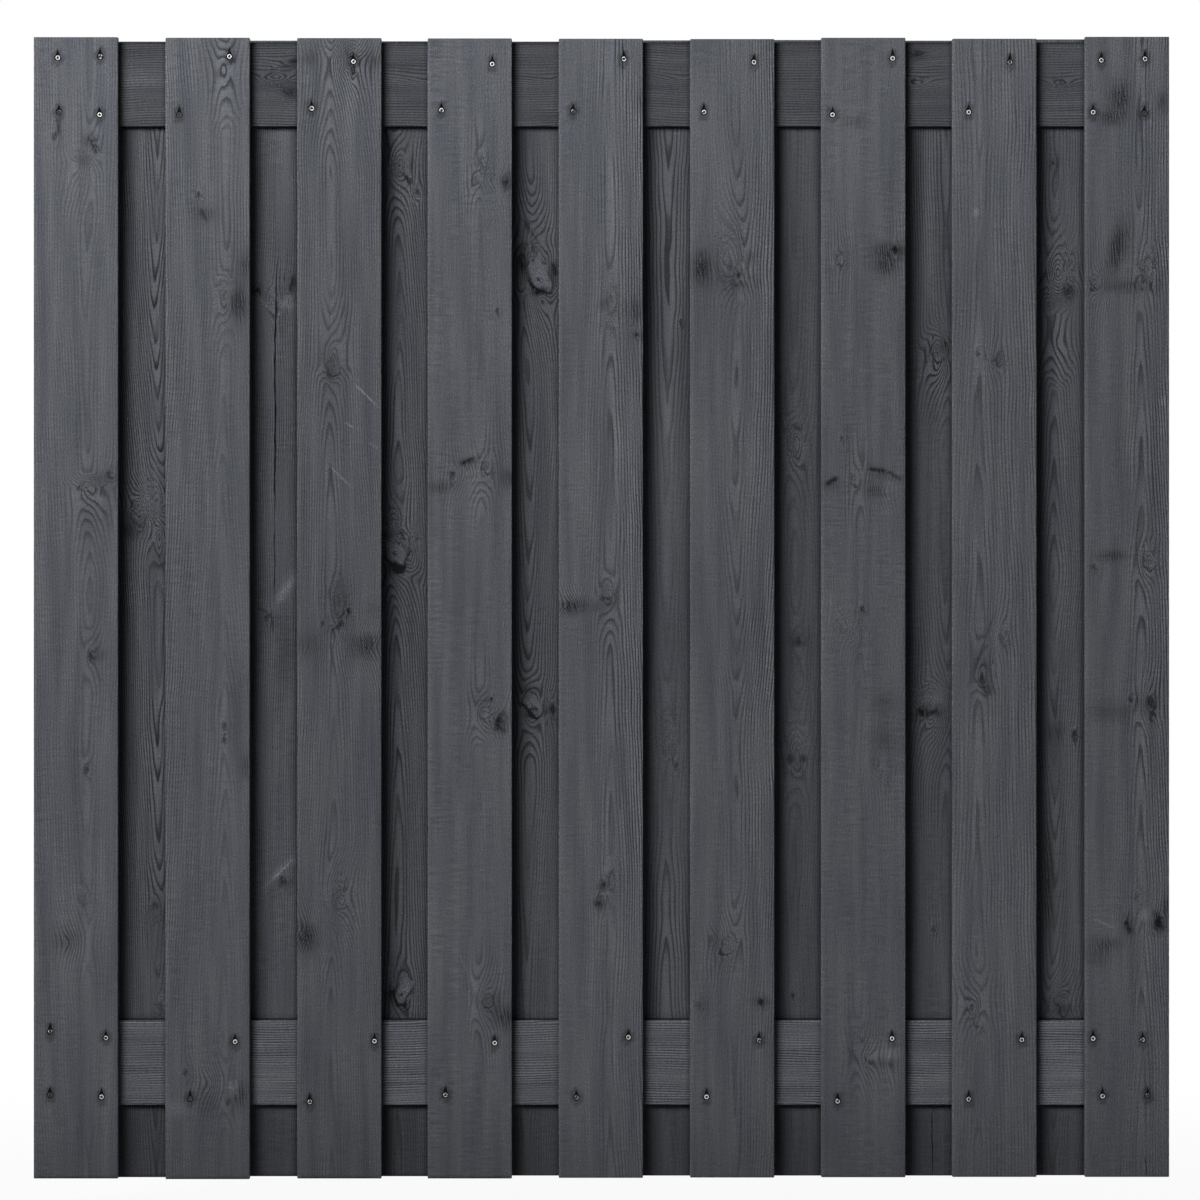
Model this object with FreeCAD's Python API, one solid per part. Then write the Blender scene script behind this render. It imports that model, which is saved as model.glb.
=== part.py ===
import FreeCAD, Part
import os

# Hit-and-miss garden screen panel of sawn softwood. Upright boards are screwed to both
# faces of two rails, and each rear board stands behind a gap between two front boards,
# so air passes through the panel sideways and nobody sees through it.
#
# Millimetres. X runs to the right along the panel, Y from its front to its back, Z up.
# The origin is on the left edge of the first front board, in the middle of its
# thickness and level with the foot line of the boards.

# Boards: sawn stock, with the sharp long edges taken off
board_length = 1800.0
board_width = 133.0
board_thickness = 15.0
board_arris = 1.2
front_board_count = 9
front_gap = 74.5

# Rails: laid flat between the two layers of boards
rail_width = 133.0
rail_thickness = 15.0
rail_arris = 1.2
top_rail_drop = 5.0
bottom_rail_rise = 114.0

# Laying differences of the boards, left to right: how far each top end and foot end
# stands above its nominal line, and how far the board is shifted to the right
front_top_offsets = [1.5, 0.5, 0.0, -0.5, -1.0, -1.5, 0.5, -1.0, 2.0]
front_foot_offsets = [-1.0, -2.0, -1.0, -1.0, 0.0, 0.5, 1.0, 1.5, 1.5]
front_side_offsets = [0.0, 0.5, 1.0, -0.5, -1.0, -1.0, -1.5, -2.0, 0.0]
rear_top_offsets = [-2.0, -0.5, -1.5, -2.0, 0.0, 0.5, -0.5, 1.5]
rear_foot_offsets = [-2.5, -1.0, -1.0, 0.0, 0.0, 0.0, 0.0, 0.5]
rear_side_offsets = [0.5, -0.5, 0.0, 1.0, 0.0, -1.0, 0.5, 0.0]

# Screws: countersunk wood screws, drawn with flats in place of round turning
screw_length = 25.0
screw_shank_diameter = 4.0
screw_head_diameter = 8.0
screw_sink = 1.0
screw_point_length = 3.5
screw_point_diameter = 0.6
screw_flats = 8
recess_diameter = 3.6
recess_depth = 1.5
screw_clearance = 0.2

# Front screws, left to right. Every board has an upper screw near its right edge and a
# lower one near its left edge at each rail: inset from that edge of the board, and
# distance in from the rail's upper or lower edge.
top_upper_right = [(28, 24), (32, 24), (44, 32), (31, 36), (30, 28), (32, 33), (20, 27), (42, 33), (38, 28)]
top_lower_left = [(40, 21), (22, 17), (23, 27), (22, 24), (23, 22), (22, 21), (18, 17), (26, 21), (13, 21)]
bottom_upper_right = [(19, 26), (23, 32), (11, 31), (27, 34), (23, 25), (24, 30), (21, 27), (23, 29), (42, 29)]
bottom_lower_left = [(26, 17), (39, 11), (20, 6), (28, 17), (28, 13), (26, 14), (26, 7), (26, 10), (28, 15)]

# The first and the last front board have a screw in the two other corners as well
top_end_upper_left = [(38, 26), (26, 30)]
top_end_lower_right = [(29, 17), (39, 19)]
bottom_end_upper_left = [(26, 16), (13, 27)]
bottom_end_lower_right = [(26, 14), (34, 16)]

# Rear screws: one diagonal pair at each rail, driven from the back
rear_screw_inset = 25.0
rear_screw_rail_inset = 45.0

# Places that follow from the sizes above
front_pitch = board_width + front_gap
rear_board_count = front_board_count - 1
rail_length = (front_board_count - 1) * front_pitch + board_width
front_face = -board_thickness / 2
rail_front = front_face + board_thickness
rail_back = rail_front + rail_thickness
rear_face = rail_back + board_thickness
top_rail_upper_edge = board_length - top_rail_drop
top_rail_lower_edge = top_rail_upper_edge - rail_width
bottom_rail_lower_edge = bottom_rail_rise
bottom_rail_upper_edge = bottom_rail_lower_edge + rail_width


def eased_section(width, thickness, arris):
    """Closed outline of a sawn section in the XY plane, its four corners taken off."""
    corners = [
        (arris, 0),
        (width - arris, 0),
        (width, arris),
        (width, thickness - arris),
        (width - arris, thickness),
        (arris, thickness),
        (0, thickness - arris),
        (0, arris),
    ]
    points = [FreeCAD.Vector(x, y, 0) for x, y in corners]
    return Part.Face(Part.makePolygon(points + points[:1]))


def upright_board(left, front, foot, top):
    """One board standing on end, with its near left foot corner at the given place."""
    board = eased_section(board_width, board_thickness, board_arris)
    board.translate(FreeCAD.Vector(left, front, foot))
    return board.extrude(FreeCAD.Vector(0, 0, top - foot))


def lying_rail(lower_edge):
    """One rail along X: the section is turned on edge and drawn out over the panel's width."""
    rail = eased_section(rail_width, rail_thickness, rail_arris)
    rail.rotate(FreeCAD.Vector(0, 0, 0), FreeCAD.Vector(0, 1, 0), -90)
    rail.translate(FreeCAD.Vector(0, rail_front, lower_edge))
    return rail.extrude(FreeCAD.Vector(rail_length, 0, 0))


def flat_sided_turning(profile):
    """Solid about the Y axis, with flats in place of a round: (radius, depth) from head to point."""
    step = 360.0 / screw_flats
    rings = []
    for radius, depth in profile:
        spoke = FreeCAD.Vector(radius, 0, 0)
        turns = [FreeCAD.Rotation(FreeCAD.Vector(0, 1, 0), (i + 0.5) * step) for i in range(screw_flats)]
        rings.append([turn.multVec(spoke) + FreeCAD.Vector(0, depth, 0) for turn in turns])
    faces = [Part.Face(Part.makePolygon(ring + ring[:1])) for ring in (rings[0], rings[-1])]
    for near, far in zip(rings, rings[1:]):
        for i in range(screw_flats):
            j = (i + 1) % screw_flats
            side = [near[i], near[j], far[j], far[i], near[i]]
            faces.append(Part.Face(Part.makePolygon(side)))
    solid = Part.Solid(Part.Shell(faces))
    if solid.Volume < 0:
        solid.reverse()
    return solid


def screw():
    """A screw along +Y with its head's top at y 0: recess, cone, shank and point."""
    head = screw_head_diameter / 2
    shank = screw_shank_diameter / 2
    recess = recess_diameter / 2
    profile = [
        (recess, recess_depth),
        (recess, 0),
        (head, 0),
        (shank, head - shank),
        (shank, screw_length - screw_point_length),
        (screw_point_diameter / 2, screw_length),
    ]
    return flat_sided_turning(profile)


def screw_seat():
    """Cutter for the screw's hole: a countersink open to the board's face, then the bore."""
    head = screw_head_diameter / 2 + screw_clearance
    shank = screw_shank_diameter / 2 + screw_clearance
    profile = [
        (head + 2 * screw_sink, -2 * screw_sink),
        (shank, head - shank),
        (shank, screw_length + screw_clearance),
    ]
    return flat_sided_turning(profile)


def placed(shape, x, z, from_front):
    """A screw or its cutter set at a place on the panel, driven from the front or the back."""
    moved = shape.copy()
    if from_front:
        moved.translate(FreeCAD.Vector(x, front_face + screw_sink, z))
    else:
        moved.rotate(FreeCAD.Vector(0, 0, 0), FreeCAD.Vector(0, 0, 1), 180)
        moved.translate(FreeCAD.Vector(x, rear_face - screw_sink, z))
    return moved


def front_left(i):
    """Left edge of a front board."""
    return i * front_pitch + front_side_offsets[i]


def rear_left(i):
    """Left edge of a rear board, centred behind its gap."""
    gap_middle = i * front_pitch + board_width + front_gap / 2
    return gap_middle - board_width / 2 + rear_side_offsets[i]


def front_screw_places(upper_right, lower_left, end_upper_left, end_lower_right, lower_edge):
    """Screw places of one rail as (board, x, z), for all front boards."""
    upper_edge = lower_edge + rail_width
    places = []
    for i in range(front_board_count):
        left = front_left(i)
        right = left + board_width
        places.append((i, right - upper_right[i][0], upper_edge - upper_right[i][1]))
        places.append((i, left + lower_left[i][0], lower_edge + lower_left[i][1]))
    for end, i in enumerate((0, front_board_count - 1)):
        left = front_left(i)
        right = left + board_width
        places.append((i, left + end_upper_left[end][0], upper_edge - end_upper_left[end][1]))
        places.append((i, right - end_lower_right[end][0], lower_edge + end_lower_right[end][1]))
    return places


def rear_screw_places(lower_edge):
    """Screw places of one rail as (board, x, z), for all rear boards."""
    upper_edge = lower_edge + rail_width
    places = []
    for i in range(rear_board_count):
        left = rear_left(i)
        places.append((i, left + rear_screw_inset, upper_edge - rear_screw_rail_inset))
        places.append((i, left + board_width - rear_screw_inset, lower_edge + rear_screw_rail_inset))
    return places


def save(name, shape):
    """Write one piece, and say how large it is."""
    shape.exportStep("parts/" + name + ".step")
    size = shape.BoundBox
    print(name, len(shape.Solids), "solid,", round(size.XLength, 1), round(size.YLength, 1), round(size.ZLength, 1))


def main():
    os.makedirs("parts", exist_ok=True)
    one_screw = screw()
    one_seat = screw_seat()

    # Where every screw goes, by rail
    front_places = {
        "top": front_screw_places(
            top_upper_right, top_lower_left, top_end_upper_left, top_end_lower_right, top_rail_lower_edge
        ),
        "bottom": front_screw_places(
            bottom_upper_right,
            bottom_lower_left,
            bottom_end_upper_left,
            bottom_end_lower_right,
            bottom_rail_lower_edge,
        ),
    }
    rear_places = {
        "top": rear_screw_places(top_rail_lower_edge),
        "bottom": rear_screw_places(bottom_rail_lower_edge),
    }

    # Front boards with their countersunk holes
    for i in range(front_board_count):
        foot = front_foot_offsets[i]
        top = board_length + front_top_offsets[i]
        board = upright_board(front_left(i), front_face, foot, top)
        holes = [
            placed(one_seat, x, z, True)
            for places in front_places.values()
            for owner, x, z in places
            if owner == i
        ]
        save("front_board_" + str(i + 1), board.cut(holes))

    # Rear boards, countersunk from the back
    for i in range(rear_board_count):
        foot = rear_foot_offsets[i]
        top = board_length + rear_top_offsets[i]
        board = upright_board(rear_left(i), rail_back, foot, top)
        holes = [
            placed(one_seat, x, z, False)
            for places in rear_places.values()
            for owner, x, z in places
            if owner == i
        ]
        save("rear_board_" + str(i + 1), board.cut(holes))

    # Rails with a pilot hole for every screw, and the screws
    for rail_name, lower_edge in (("top", top_rail_lower_edge), ("bottom", bottom_rail_lower_edge)):
        front = front_places[rail_name]
        rear = rear_places[rail_name]
        pilots = [placed(one_seat, x, z, True) for owner, x, z in front]
        pilots += [placed(one_seat, x, z, False) for owner, x, z in rear]
        save(rail_name + "_rail", lying_rail(lower_edge).cut(pilots))
        front_screws = [placed(one_screw, x, z, True) for owner, x, z in front]
        rear_screws = [placed(one_screw, x, z, False) for owner, x, z in rear]
        save("front_screws_" + rail_name + "_rail", Part.makeCompound(front_screws))
        save("rear_screws_" + rail_name + "_rail", Part.makeCompound(rear_screws))


main()
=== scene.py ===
"""Looks of the garden screen panel: dark-stained sawn boards, two rails and stainless screws.

Metres in Blender. The tables below are in millimetres, in the directions of a stick of wood:
across is measured over a face from its left edge (from the upper edge on a rail), along runs with
the grain from the panel's foot line (from its left side on a rail), and depth goes in from the face.
"""

import math

import bmesh
import bpy
import numpy as np
from mathutils import Euler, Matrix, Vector


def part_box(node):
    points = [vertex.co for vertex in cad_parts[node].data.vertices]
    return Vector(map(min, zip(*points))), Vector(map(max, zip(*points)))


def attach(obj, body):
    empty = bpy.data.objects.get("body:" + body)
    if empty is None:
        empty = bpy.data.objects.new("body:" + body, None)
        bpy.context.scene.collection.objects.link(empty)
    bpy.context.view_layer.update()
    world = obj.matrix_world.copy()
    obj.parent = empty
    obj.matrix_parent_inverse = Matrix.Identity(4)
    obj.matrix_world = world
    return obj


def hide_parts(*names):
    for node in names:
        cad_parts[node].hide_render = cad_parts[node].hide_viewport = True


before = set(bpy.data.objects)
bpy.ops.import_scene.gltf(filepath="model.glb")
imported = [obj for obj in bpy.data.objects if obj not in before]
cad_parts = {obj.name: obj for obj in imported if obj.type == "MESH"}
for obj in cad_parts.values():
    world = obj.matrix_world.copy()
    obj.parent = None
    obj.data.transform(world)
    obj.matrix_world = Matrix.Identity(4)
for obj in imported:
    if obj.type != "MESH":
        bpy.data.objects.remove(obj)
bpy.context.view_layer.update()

MM = 0.001

# Sizes of the stock, as the record's solids have them
BOARD_WIDTH = 133.0
THICKNESS = 15.0
ARRIS = 1.2
FRONT_FACE = -7.5
REAR_FACE = 37.5
FRONT_BOARDS = 9
REAR_BOARDS = 8
RAILS = ("top", "bottom")

# Mesh of a stick: cells over the width, the thickness and the length, and the bite of the saw in its edges
FRONT_CELLS = (28, 4, 360)
REAR_CELLS = (24, 4, 300)
RAIL_CELLS = (24, 4, 300)
ROUGH_EDGE = 0.3

# Screws: a countersunk head with a star recess, and the seat that it has crushed into the wood
HEAD_RADIUS = 4.0
SHANK_RADIUS = 2.0
SCREW_LENGTH = 25.0
SCREW_SINK = 1.0
BORE_CLEARANCE = 0.2
SCREW_SIDES = 24
FRONT_TEAR = (7.0, 13.0)
REAR_TEAR = 2.0
# How far round a screw the wood takes painted shade from its seat
SCREW_SHADE_REACH = 9.0

# The shades in the tables are shares of seen brightness; colours are linear. A shade darker than this is torn
SEEN = 2.2
TORN_SHADE = -0.16
SCRATCH_HALF_WIDTH = 1.5
# How much weaker the grain lines are at the foot of the boards
CALM_FOOT = 0.45
# Height of the painted shade line in the joint between a rear board and the bottom rail
JOINT_LEVEL = 248.2
# The wander of the grain: where it starts along a stick, and how long a stretch it covers
WANDER_START = -300.0
WANDER_REACH = 2600.0
# Heart line and arches are worked out at these places along a stick, and the arches softened over a few
TABLE_ENDS = (-40.0, 1860.0)
TABLE_STEP = 4.0
SOFTENED_OVER = 25
# Farther than anything in a table reaches
FAR = 1e6
# Corners sharper than this stay sharp, in degrees
SHARP_WOOD = 38.0
SHARP_STEEL = 40.0
# First seeds of the boards, rails and screws. A stick uses four seeds, so the next one starts further on
BOARD_SEEDS = {"front": 11, "rear": 212}
RAIL_SEED = 400
SCREW_SEEDS = {"front": 31, "rear": 51}
NEXT_STICK = 7

# Stain colours between which the boards vary, and the screws' steel and the stain on it, which also stands
# for painted shade in a head's recess and round its rim
STAIN = (0.081, 0.0865, 0.0995, 1.0)
WARMER_STAIN = (0.084, 0.0875, 0.0975, 1.0)
BARE_STEEL = (0.52, 0.52, 0.51, 1.0)
STAIN_AND_SHADE_ON_STEEL = (0.020, 0.020, 0.022, 1.0)

# Pace of the wood's noises in cells per mm, across and along the grain
WANDER = (0.02, 0.0035)
RIPPLE = (0.10, 0.014)
STREAKS = (0.50, 0.005)
FUZZ = (0.48, 0.34)
BANDS = (0.05, 0.0040)
PATCHES = (0.03, 0.010)
SAW_FEED = (0.035, 0.25)
RELIEF = (0.45, 0.03)

# What a knot looks like: dark core, dark rim, pale inside, how far the rings bulge round it (in radii),
# how far its branch drifts along the board per mm of depth
KNOT_LOOKS = {
    "pin": (0.42, 0.28, 0.00, 0.6, 0.2),
    "dark": (0.50, 0.45, 0.00, 0.9, 0.4),
    "sound": (0.12, 0.55, 0.10, 1.3, 0.3),
    "ringed": (0.00, 0.95, 0.28, 1.1, 0.1),
    "eye": (0.06, 0.22, 0.05, 1.3, 0.5),
    "hole": (0.97, 0.70, 0.00, 1.0, 0.1),
}

# One entry a stick. pith: how far across the heart line lies. rings: ring width. lines and saw: strength
# of the grain lines and of the saw marks at the left and right edge (lines below 0 count as 0). tint:
# brightness. layers: (along, distance of the face from the heart), which sets the arches. The rest are
# rows, each placed by (across, along):
# knots: place, radius, stretch, tilt, look.
# shades: place, half width, half height, amount, and a slant if there is one.
# nests, where the rings stand up in ovals: place, half width, reach up, reach down, tilt, swell, strength
# of the lines. A swell of 0 only strengthens the lines.
# scratches: place of both ends, strength, and the half width where it isn't the usual one. A strength
# below 0 is a dark stroke, above 0 a pale scuff.
# splits: line of points, width, depth.
STICKS = {
    "front_board_1": {
        "pith": 85, "rings": 4.4, "lines": (0.42, 0.28), "saw": (0.8, 0.4), "tint": 1.22,
        "layers": [(0, 120), (900, 93), (1094, 84), (1300, 79.2), (1800, 66)],
        "knots": [
            (34, 1645, 4.7, 1.3, 0, "pin"), (97, 1626, 7.1, 1.2, 20, "dark"),
            (80, 1091, 6.3, 1.2, -20, "sound"), (121, 1110, 5.5, 1, 0, "dark"),
            (92, 824, 5.5, 1.5, 0, "dark"), (84, 643, 4.7, 1.2, 0, "pin"), (80, 442, 6.3, 2, 0, "eye"),
        ],
        "shades": [
            (92, 1639, 9, 8, -0.35), (39, 1658, 6, 16, -0.15), (80, 1607, 13, 13, -0.15),
            (105, 1102, 22, 13, -0.2), (92, 1039, 19, 39, -0.12), (51, 376, 19, 19, -0.25),
            (100, 826, 16, 9, -0.2), (84, 647, 6, 8, -0.2),
        ],
        "nests": [
            (58, 372, 26, 34, 34, 0, 24, 1.1), (92, 1090, 24, 10, 70, 0, 48, 1.4),
            (94, 823, 12, 25, 25, 0, 17, 0.8), (86, 644, 8, 12, 12, 0, 8.5, 0.6),
            (97, 1620, 12, 25, 20, 0, 13.6, 0.8), (70, 1600, 15, 14, 40, 0, 26, 0.8),
        ],
        "scratches": [(84, 1647, 97, 1624, -0.9, 2.5), (40, 1672, 38, 1643, -0.9, 2.6)],
    },
    "front_board_2": {
        "pith": 94, "rings": 4.3, "lines": (0.71, 0.19), "saw": (0.9, 0.5), "tint": 1.13,
        "layers": [(0, 0), (600, 25), (1150, 55), (1420, 62.5), (1700, 59), (1800, 54)],
        "knots": [
            (53, 1553, 4.7, 1.2, 0, "dark"), (94, 1394, 9.5, 2.2, 0, "eye"), (94, 712, 4.7, 1.5, 0, "pin"),
            (93, 692, 3.9, 1.5, 0, "dark"), (34, 166, 4.7, 1.2, 0, "pin"), (100, 120, 4.7, 1.2, 0, "pin"),
        ],
        "shades": [
            (119, 130, 9, 20, -0.38), (66, 118, 16, 22, -0.12), (18, 110, 16, 12, 0.14),
            (100, 142, 10, 12, 0.12), (62, 1522, 16, 12, -0.28), (118, 1378, 12, 26, -0.32),
            (126, 1441, 9, 22, -0.3), (111, 1386, 13, 22, -0.2), (126, 651, 8, 22, -0.25),
            (118, 755, 13, 63, -0.08),
        ],
        "nests": [
            (72, 150, 24, 30, 45, 0, 27, 1.2), (110, 1500, 30, 80, 60, 0, 0, 0.9),
            (93, 1752, 22, 60, 60, 0, 34, 1.5), (91, 1386, 13, 42, 42, 0, 13.6, 0.8),
        ],
        "scratches": [
            (96, 152, 118, 128, 0.5, 2.5), (111, 160, 113, 130, 0.4, 2.0), (54, 1535, 68, 1506, -0.9, 2.6),
        ],
    },
    "front_board_3": {
        "pith": 56, "rings": 3.9, "lines": (0.6, 0.5), "saw": (0.5, 0.5), "tint": 1.0,
        "layers": [(0, 0), (900, 25), (1279, 40), (1500, 44), (1800, 40)],
        "knots": [
            (87, 1781, 9.5, 1.2, 0, "eye"), (90, 1747, 6.3, 1.2, 0, "dark"),
            (57, 1279, 9.5, 1.8, 0, "sound"), (66, 913, 11.0, 2.4, 0, "eye"),
            (80, 897, 3.4, 1.3, 0, "hole"), (69, 876, 4.7, 1.5, -30, "dark"),
            (41, 876, 3.2, 1.3, 0, "dark"), (75, 464, 3.9, 1.5, 0, "dark"), (68, 439, 9.5, 2, 0, "eye"),
        ],
        "shades": [
            (20, 1768, 12, 12, -0.25), (120, 1765, 12, 14, -0.3), (87, 1765, 16, 19, -0.2),
            (57, 1279, 14, 22, -0.2), (109, 842, 22, 22, -0.45), (109, 864, 22, 5, 0.15),
            (17, 842, 19, 22, -0.2), (14, 381, 18, 24, -0.5), (20, 408, 9, 9, 0.1),
            (69, 905, 16, 38, -0.15), (118, 897, 13, 16, -0.1),
        ],
        "nests": [
            (16, 395, 30, 50, 30, 0, 27, 1.2), (72, 440, 22, 40, 40, 0, 27, 1.0),
            (82, 1762, 42, 30, 75, 0, 45, 1.7), (57, 1285, 16, 60, 14, 0, 27.2, 0.9),
            (112, 838, 26, 20, 30, 0, 23.8, 1.5), (22, 840, 14, 14, 16, 0, 13.6, 1.0),
        ],
        "scratches": [
            (49, 860, 76, 879, -1.0, 3.5), (78, 900, 86, 890, -1.0, 3.0), (88, 1257, 132, 1213, 1.0),
            (72, 1194, 92, 1184, 0.8), (46, 1129, 92, 1085, 0.6), (112, 1163, 130, 1150, 0.6),
        ],
    },
    "front_board_4": {
        "pith": 82, "rings": 4.2, "lines": (0.0, 0.2), "saw": (1.3, 0.5), "tint": 1.08,
        "layers": [(0, 0), (1000, 20.2), (1350, 33.8), (1600, 39.6), (1800, 41.4)],
        "knots": [
            (87, 1607, 5.5, 1.8, 10, "sound"), (76, 1577, 6.3, 1.3, -20, "sound"),
            (124, 1569, 6.3, 1.3, 0, "pin"), (111, 1369, 3.2, 1.5, 0, "pin"), (40, 1110, 6.3, 1, 0, "dark"),
            (94, 1122, 7.1, 1.7, -15, "sound"), (89, 734, 7.9, 1.4, 0, "sound"),
            (113, 720, 6.3, 1.8, -25, "dark"), (100, 756, 3.2, 1, 0, "hole"),
            (95, 277, 7.9, 1.2, 0, "sound"),
        ],
        "shades": [
            (124, 1575, 13, 13, -0.3), (19, 1091, 22, 9, -0.28), (64, 1130, 16, 6, -0.35),
            (127, 1105, 13, 16, -0.3), (114, 720, 11, 14, -0.35), (122, 253, 17, 18, -0.45),
            (83, 755, 16, 16, -0.1), (103, 277, 16, 16, -0.15),
        ],
        "nests": [
            (96, 280, 18, 30, 24, 0, 20, 1.1), (98, 1577, 14, 12, 24, 0, 17, 0.9),
            (66, 1110, 20, 25, 20, 0, 17, 0.8), (98, 725, 24, 24, 22, 30, 23.8, 1.4),
        ],
        "scratches": [
            (48, 1125, 78, 1139, -1.5, 3.5), (104, 722, 126, 700, -1.1, 4.0), (38, 376, 92, 268, 0.25),
        ],
    },
    "front_board_5": {
        "pith": 81, "rings": 4.2, "lines": (-0.14, 1.26), "saw": (0.7, 0.4), "tint": 1.08,
        "layers": [(0, 0), (900, 16), (1400, 30), (1800, 34)],
        "knots": [
            (84, 1386, 9.5, 2.5, 0, "eye"), (124, 1331, 3.9, 1, 0, "dark"), (77, 927, 8.7, 1.4, 0, "sound"),
            (68, 460, 5.5, 1.2, 0, "dark"), (64, 433, 6.3, 1, 0, "dark"), (84, 469, 7.9, 2, 0, "eye"),
        ],
        "shades": [
            (128, 1702, 7, 16, -0.2), (70, 1380, 8, 9, -0.25), (122, 1370, 9, 19, -0.35),
            (123, 1331, 9, 6, -0.3), (22, 902, 22, 11, -0.5), (65, 903, 16, 9, -0.2),
            (65, 433, 11, 9, -0.3), (70, 461, 9, 6, -0.3),
        ],
        "nests": [(20, 905, 24, 24, 14, 0, 27.2, 1.8), (78, 915, 12, 20, 30, 0, 13.6, 0.9)],
        "scratches": [(72, 906, 90, 909, -0.8, 2.5)],
        "splits": [([(101, 1802), (102, 1775), (101, 1750), (102, 1735)], 1.6, 5.0)],
    },
    "front_board_6": {
        "pith": 71, "rings": 4.4, "lines": (-0.2, 1.1), "saw": (0.6, 0.5), "tint": 1.0,
        "layers": [(0, 100), (700, 87.5), (1120, 62.5), (1400, 55), (1800, 50)],
        "knots": [
            (76, 1426, 4.4, 1.2, 0, "hole"), (56, 1465, 18.9, 1.6, 0, "eye"),
            (59, 365, 10.3, 1.3, -30, "sound"), (112, 278, 4.7, 1, 0, "dark"),
            (16, 273, 6.3, 1.3, 0, "eye"),
        ],
        "shades": [
            (18, 1437, 17, 24, -0.5), (71, 1413, 32, 13, -0.2), (94, 1456, 9, 9, -0.2),
            (37, 376, 9, 13, -0.2), (112, 278, 13, 9, -0.35), (18, 273, 9, 13, -0.2),
        ],
        "nests": [(42, 378, 14, 22, 22, 0, 20, 1.0), (70, 1430, 26, 50, 22, 0, 20.4, 0.9)],
        "scratches": [(66, 1408, 86, 1412, -0.8, 2.5)],
    },
    "front_board_7": {
        "pith": 60, "rings": 4.4, "lines": (0.0, 0.02), "saw": (0.9, 0.9), "tint": 1.0,
        "layers": [(0, 60), (1800, 90)],
        "knots": [
            (30, 1451, 6.3, 1.3, 0, "sound"), (117, 1465, 5.5, 1.1, 0, "dark"),
            (54, 1104, 6.3, 1.5, 0, "sound"), (34, 1168, 3.2, 1.5, 0, "pin"),
            (39, 867, 11.0, 1.2, 30, "eye"), (66, 898, 3.9, 1, 0, "pin"), (91, 654, 9.5, 1.4, 0, "eye"),
            (54, 220, 7.9, 1.2, 0, "eye"), (78, 183, 3.2, 1, 0, "dark"), (111, 179, 3.9, 1, 0, "dark"),
        ],
        "shades": [
            (100, 195, 20, 14, 0.14), (108, 1464, 24, 12, -0.55), (102, 1441, 18, 14, -0.45),
            (49, 1668, 14, 10, -0.2), (14, 1092, 16, 9, -0.2), (100, 1108, 28, 10, -0.2, -20),
            (84, 1086, 13, 11, -0.3), (113, 1097, 19, 9, 0.12), (99, 750, 19, 19, -0.15),
            (97, 692, 19, 22, -0.15), (96, 182, 19, 8, -0.2),
        ],
        "nests": [
            (75, 190, 26, 30, 40, 0, 27, 1.1), (95, 1085, 20, 20, 24, 0, 17, 0.8),
            (39, 868, 16, 24, 20, 20, 13.6, 0.7),
        ],
        "scratches": [
            (4, 1093, 30, 1108, -1.8, 4.0), (69, 1121, 109, 1115, -1.6, 3.5),
            (106, 1114, 131, 1101, -0.9, 3.0), (60, 902, 72, 892, -0.8, 2.5),
        ],
    },
    "front_board_8": {
        "pith": 40, "rings": 5.2, "lines": (0.35, 0.75), "saw": (0.6, 0.5), "tint": 1.03,
        "layers": [(0, 0), (780, 18), (1500, 38), (1800, 40)],
        "knots": [
            (42, 1302, 4.7, 1, 0, "pin"), (73, 1291, 7.9, 1, 0, "sound"), (49, 786, 6.3, 1, 0, "dark"),
            (81, 853, 6.3, 1.5, 0, "sound"), (31, 265, 7.9, 1.2, 0, "eye"), (40, 240, 4.7, 1, 0, "pin"),
        ],
        "shades": [
            (73, 1288, 9, 9, -0.15), (45, 812, 9, 16, -0.25), (50, 783, 8, 8, -0.4), (59, 771, 9, 9, -0.2),
            (38, 1525, 5, 5, 0.3),
        ],
        "nests": [
            (31, 272, 24, 34, 30, 0, 27, 1.3), (46, 792, 14, 45, 16, 0, 20.4, 1.2),
            (78, 868, 16, 30, 20, 0, 13.6, 0.8),
        ],
        "scratches": [(36, 807, 70, 901, -0.7, 2.0), (43, 782, 60, 759, -1.1, 3.5)],
    },
    "front_board_9": {
        "pith": 88, "rings": 4.1, "lines": (-0.3, 1.2), "saw": (0.6, 0.6), "tint": 1.0,
        "layers": [(0, 0), (700, 20), (960, 31), (1230, 47.5), (1500, 52.5), (1800, 55)],
        "knots": [
            (17, 1413, 7.9, 1, 0, "sound"), (100, 1435, 11.0, 1.4, 0, "sound"),
            (111, 1451, 3.9, 1, 0, "dark"), (94, 1419, 4.7, 1, 0, "dark"), (15, 963, 6.3, 1, 0, "pin"),
            (101, 974, 9.5, 1.6, 0, "sound"), (99, 991, 3.2, 1, 0, "dark"), (105, 750, 5.5, 1.2, 0, "dark"),
            (105, 726, 3.9, 1.5, 0, "dark"), (73, 756, 3.9, 1, 0, "pin"), (116, 403, 5.5, 1.6, -25, "hole"),
            (68, 398, 3.9, 3, 25, "dark"), (84, 441, 6.3, 1.2, 0, "eye"),
        ],
        "shades": [
            (35, 370, 22, 10, -0.28), (95, 415, 12, 10, 0.14), (42, 1674, 22, 12, -0.35),
            (122, 1698, 10, 16, -0.3), (52, 1470, 13, 36, -0.55, -18), (55, 1706, 15, 24, -0.5),
            (70, 1408, 38, 10, -0.3), (44, 982, 22, 8, -0.4), (102, 748, 11, 14, -0.35),
            (39, 736, 38, 16, -0.15), (67, 398, 6, 14, -0.35), (115, 404, 11, 14, -0.5),
            (129, 428, 6, 13, -0.4), (20, 352, 25, 19, -0.2), (123, 1227, 5, 6, 0.25),
        ],
        "nests": [
            (102, 972, 14, 20, 20, 0, 13.6, 0.8), (103, 735, 12, 45, 16, 0, 17, 1.0),
            (16, 1407, 14, 14, 12, 0, 13.6, 1.0),
        ],
        "scratches": [
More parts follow.
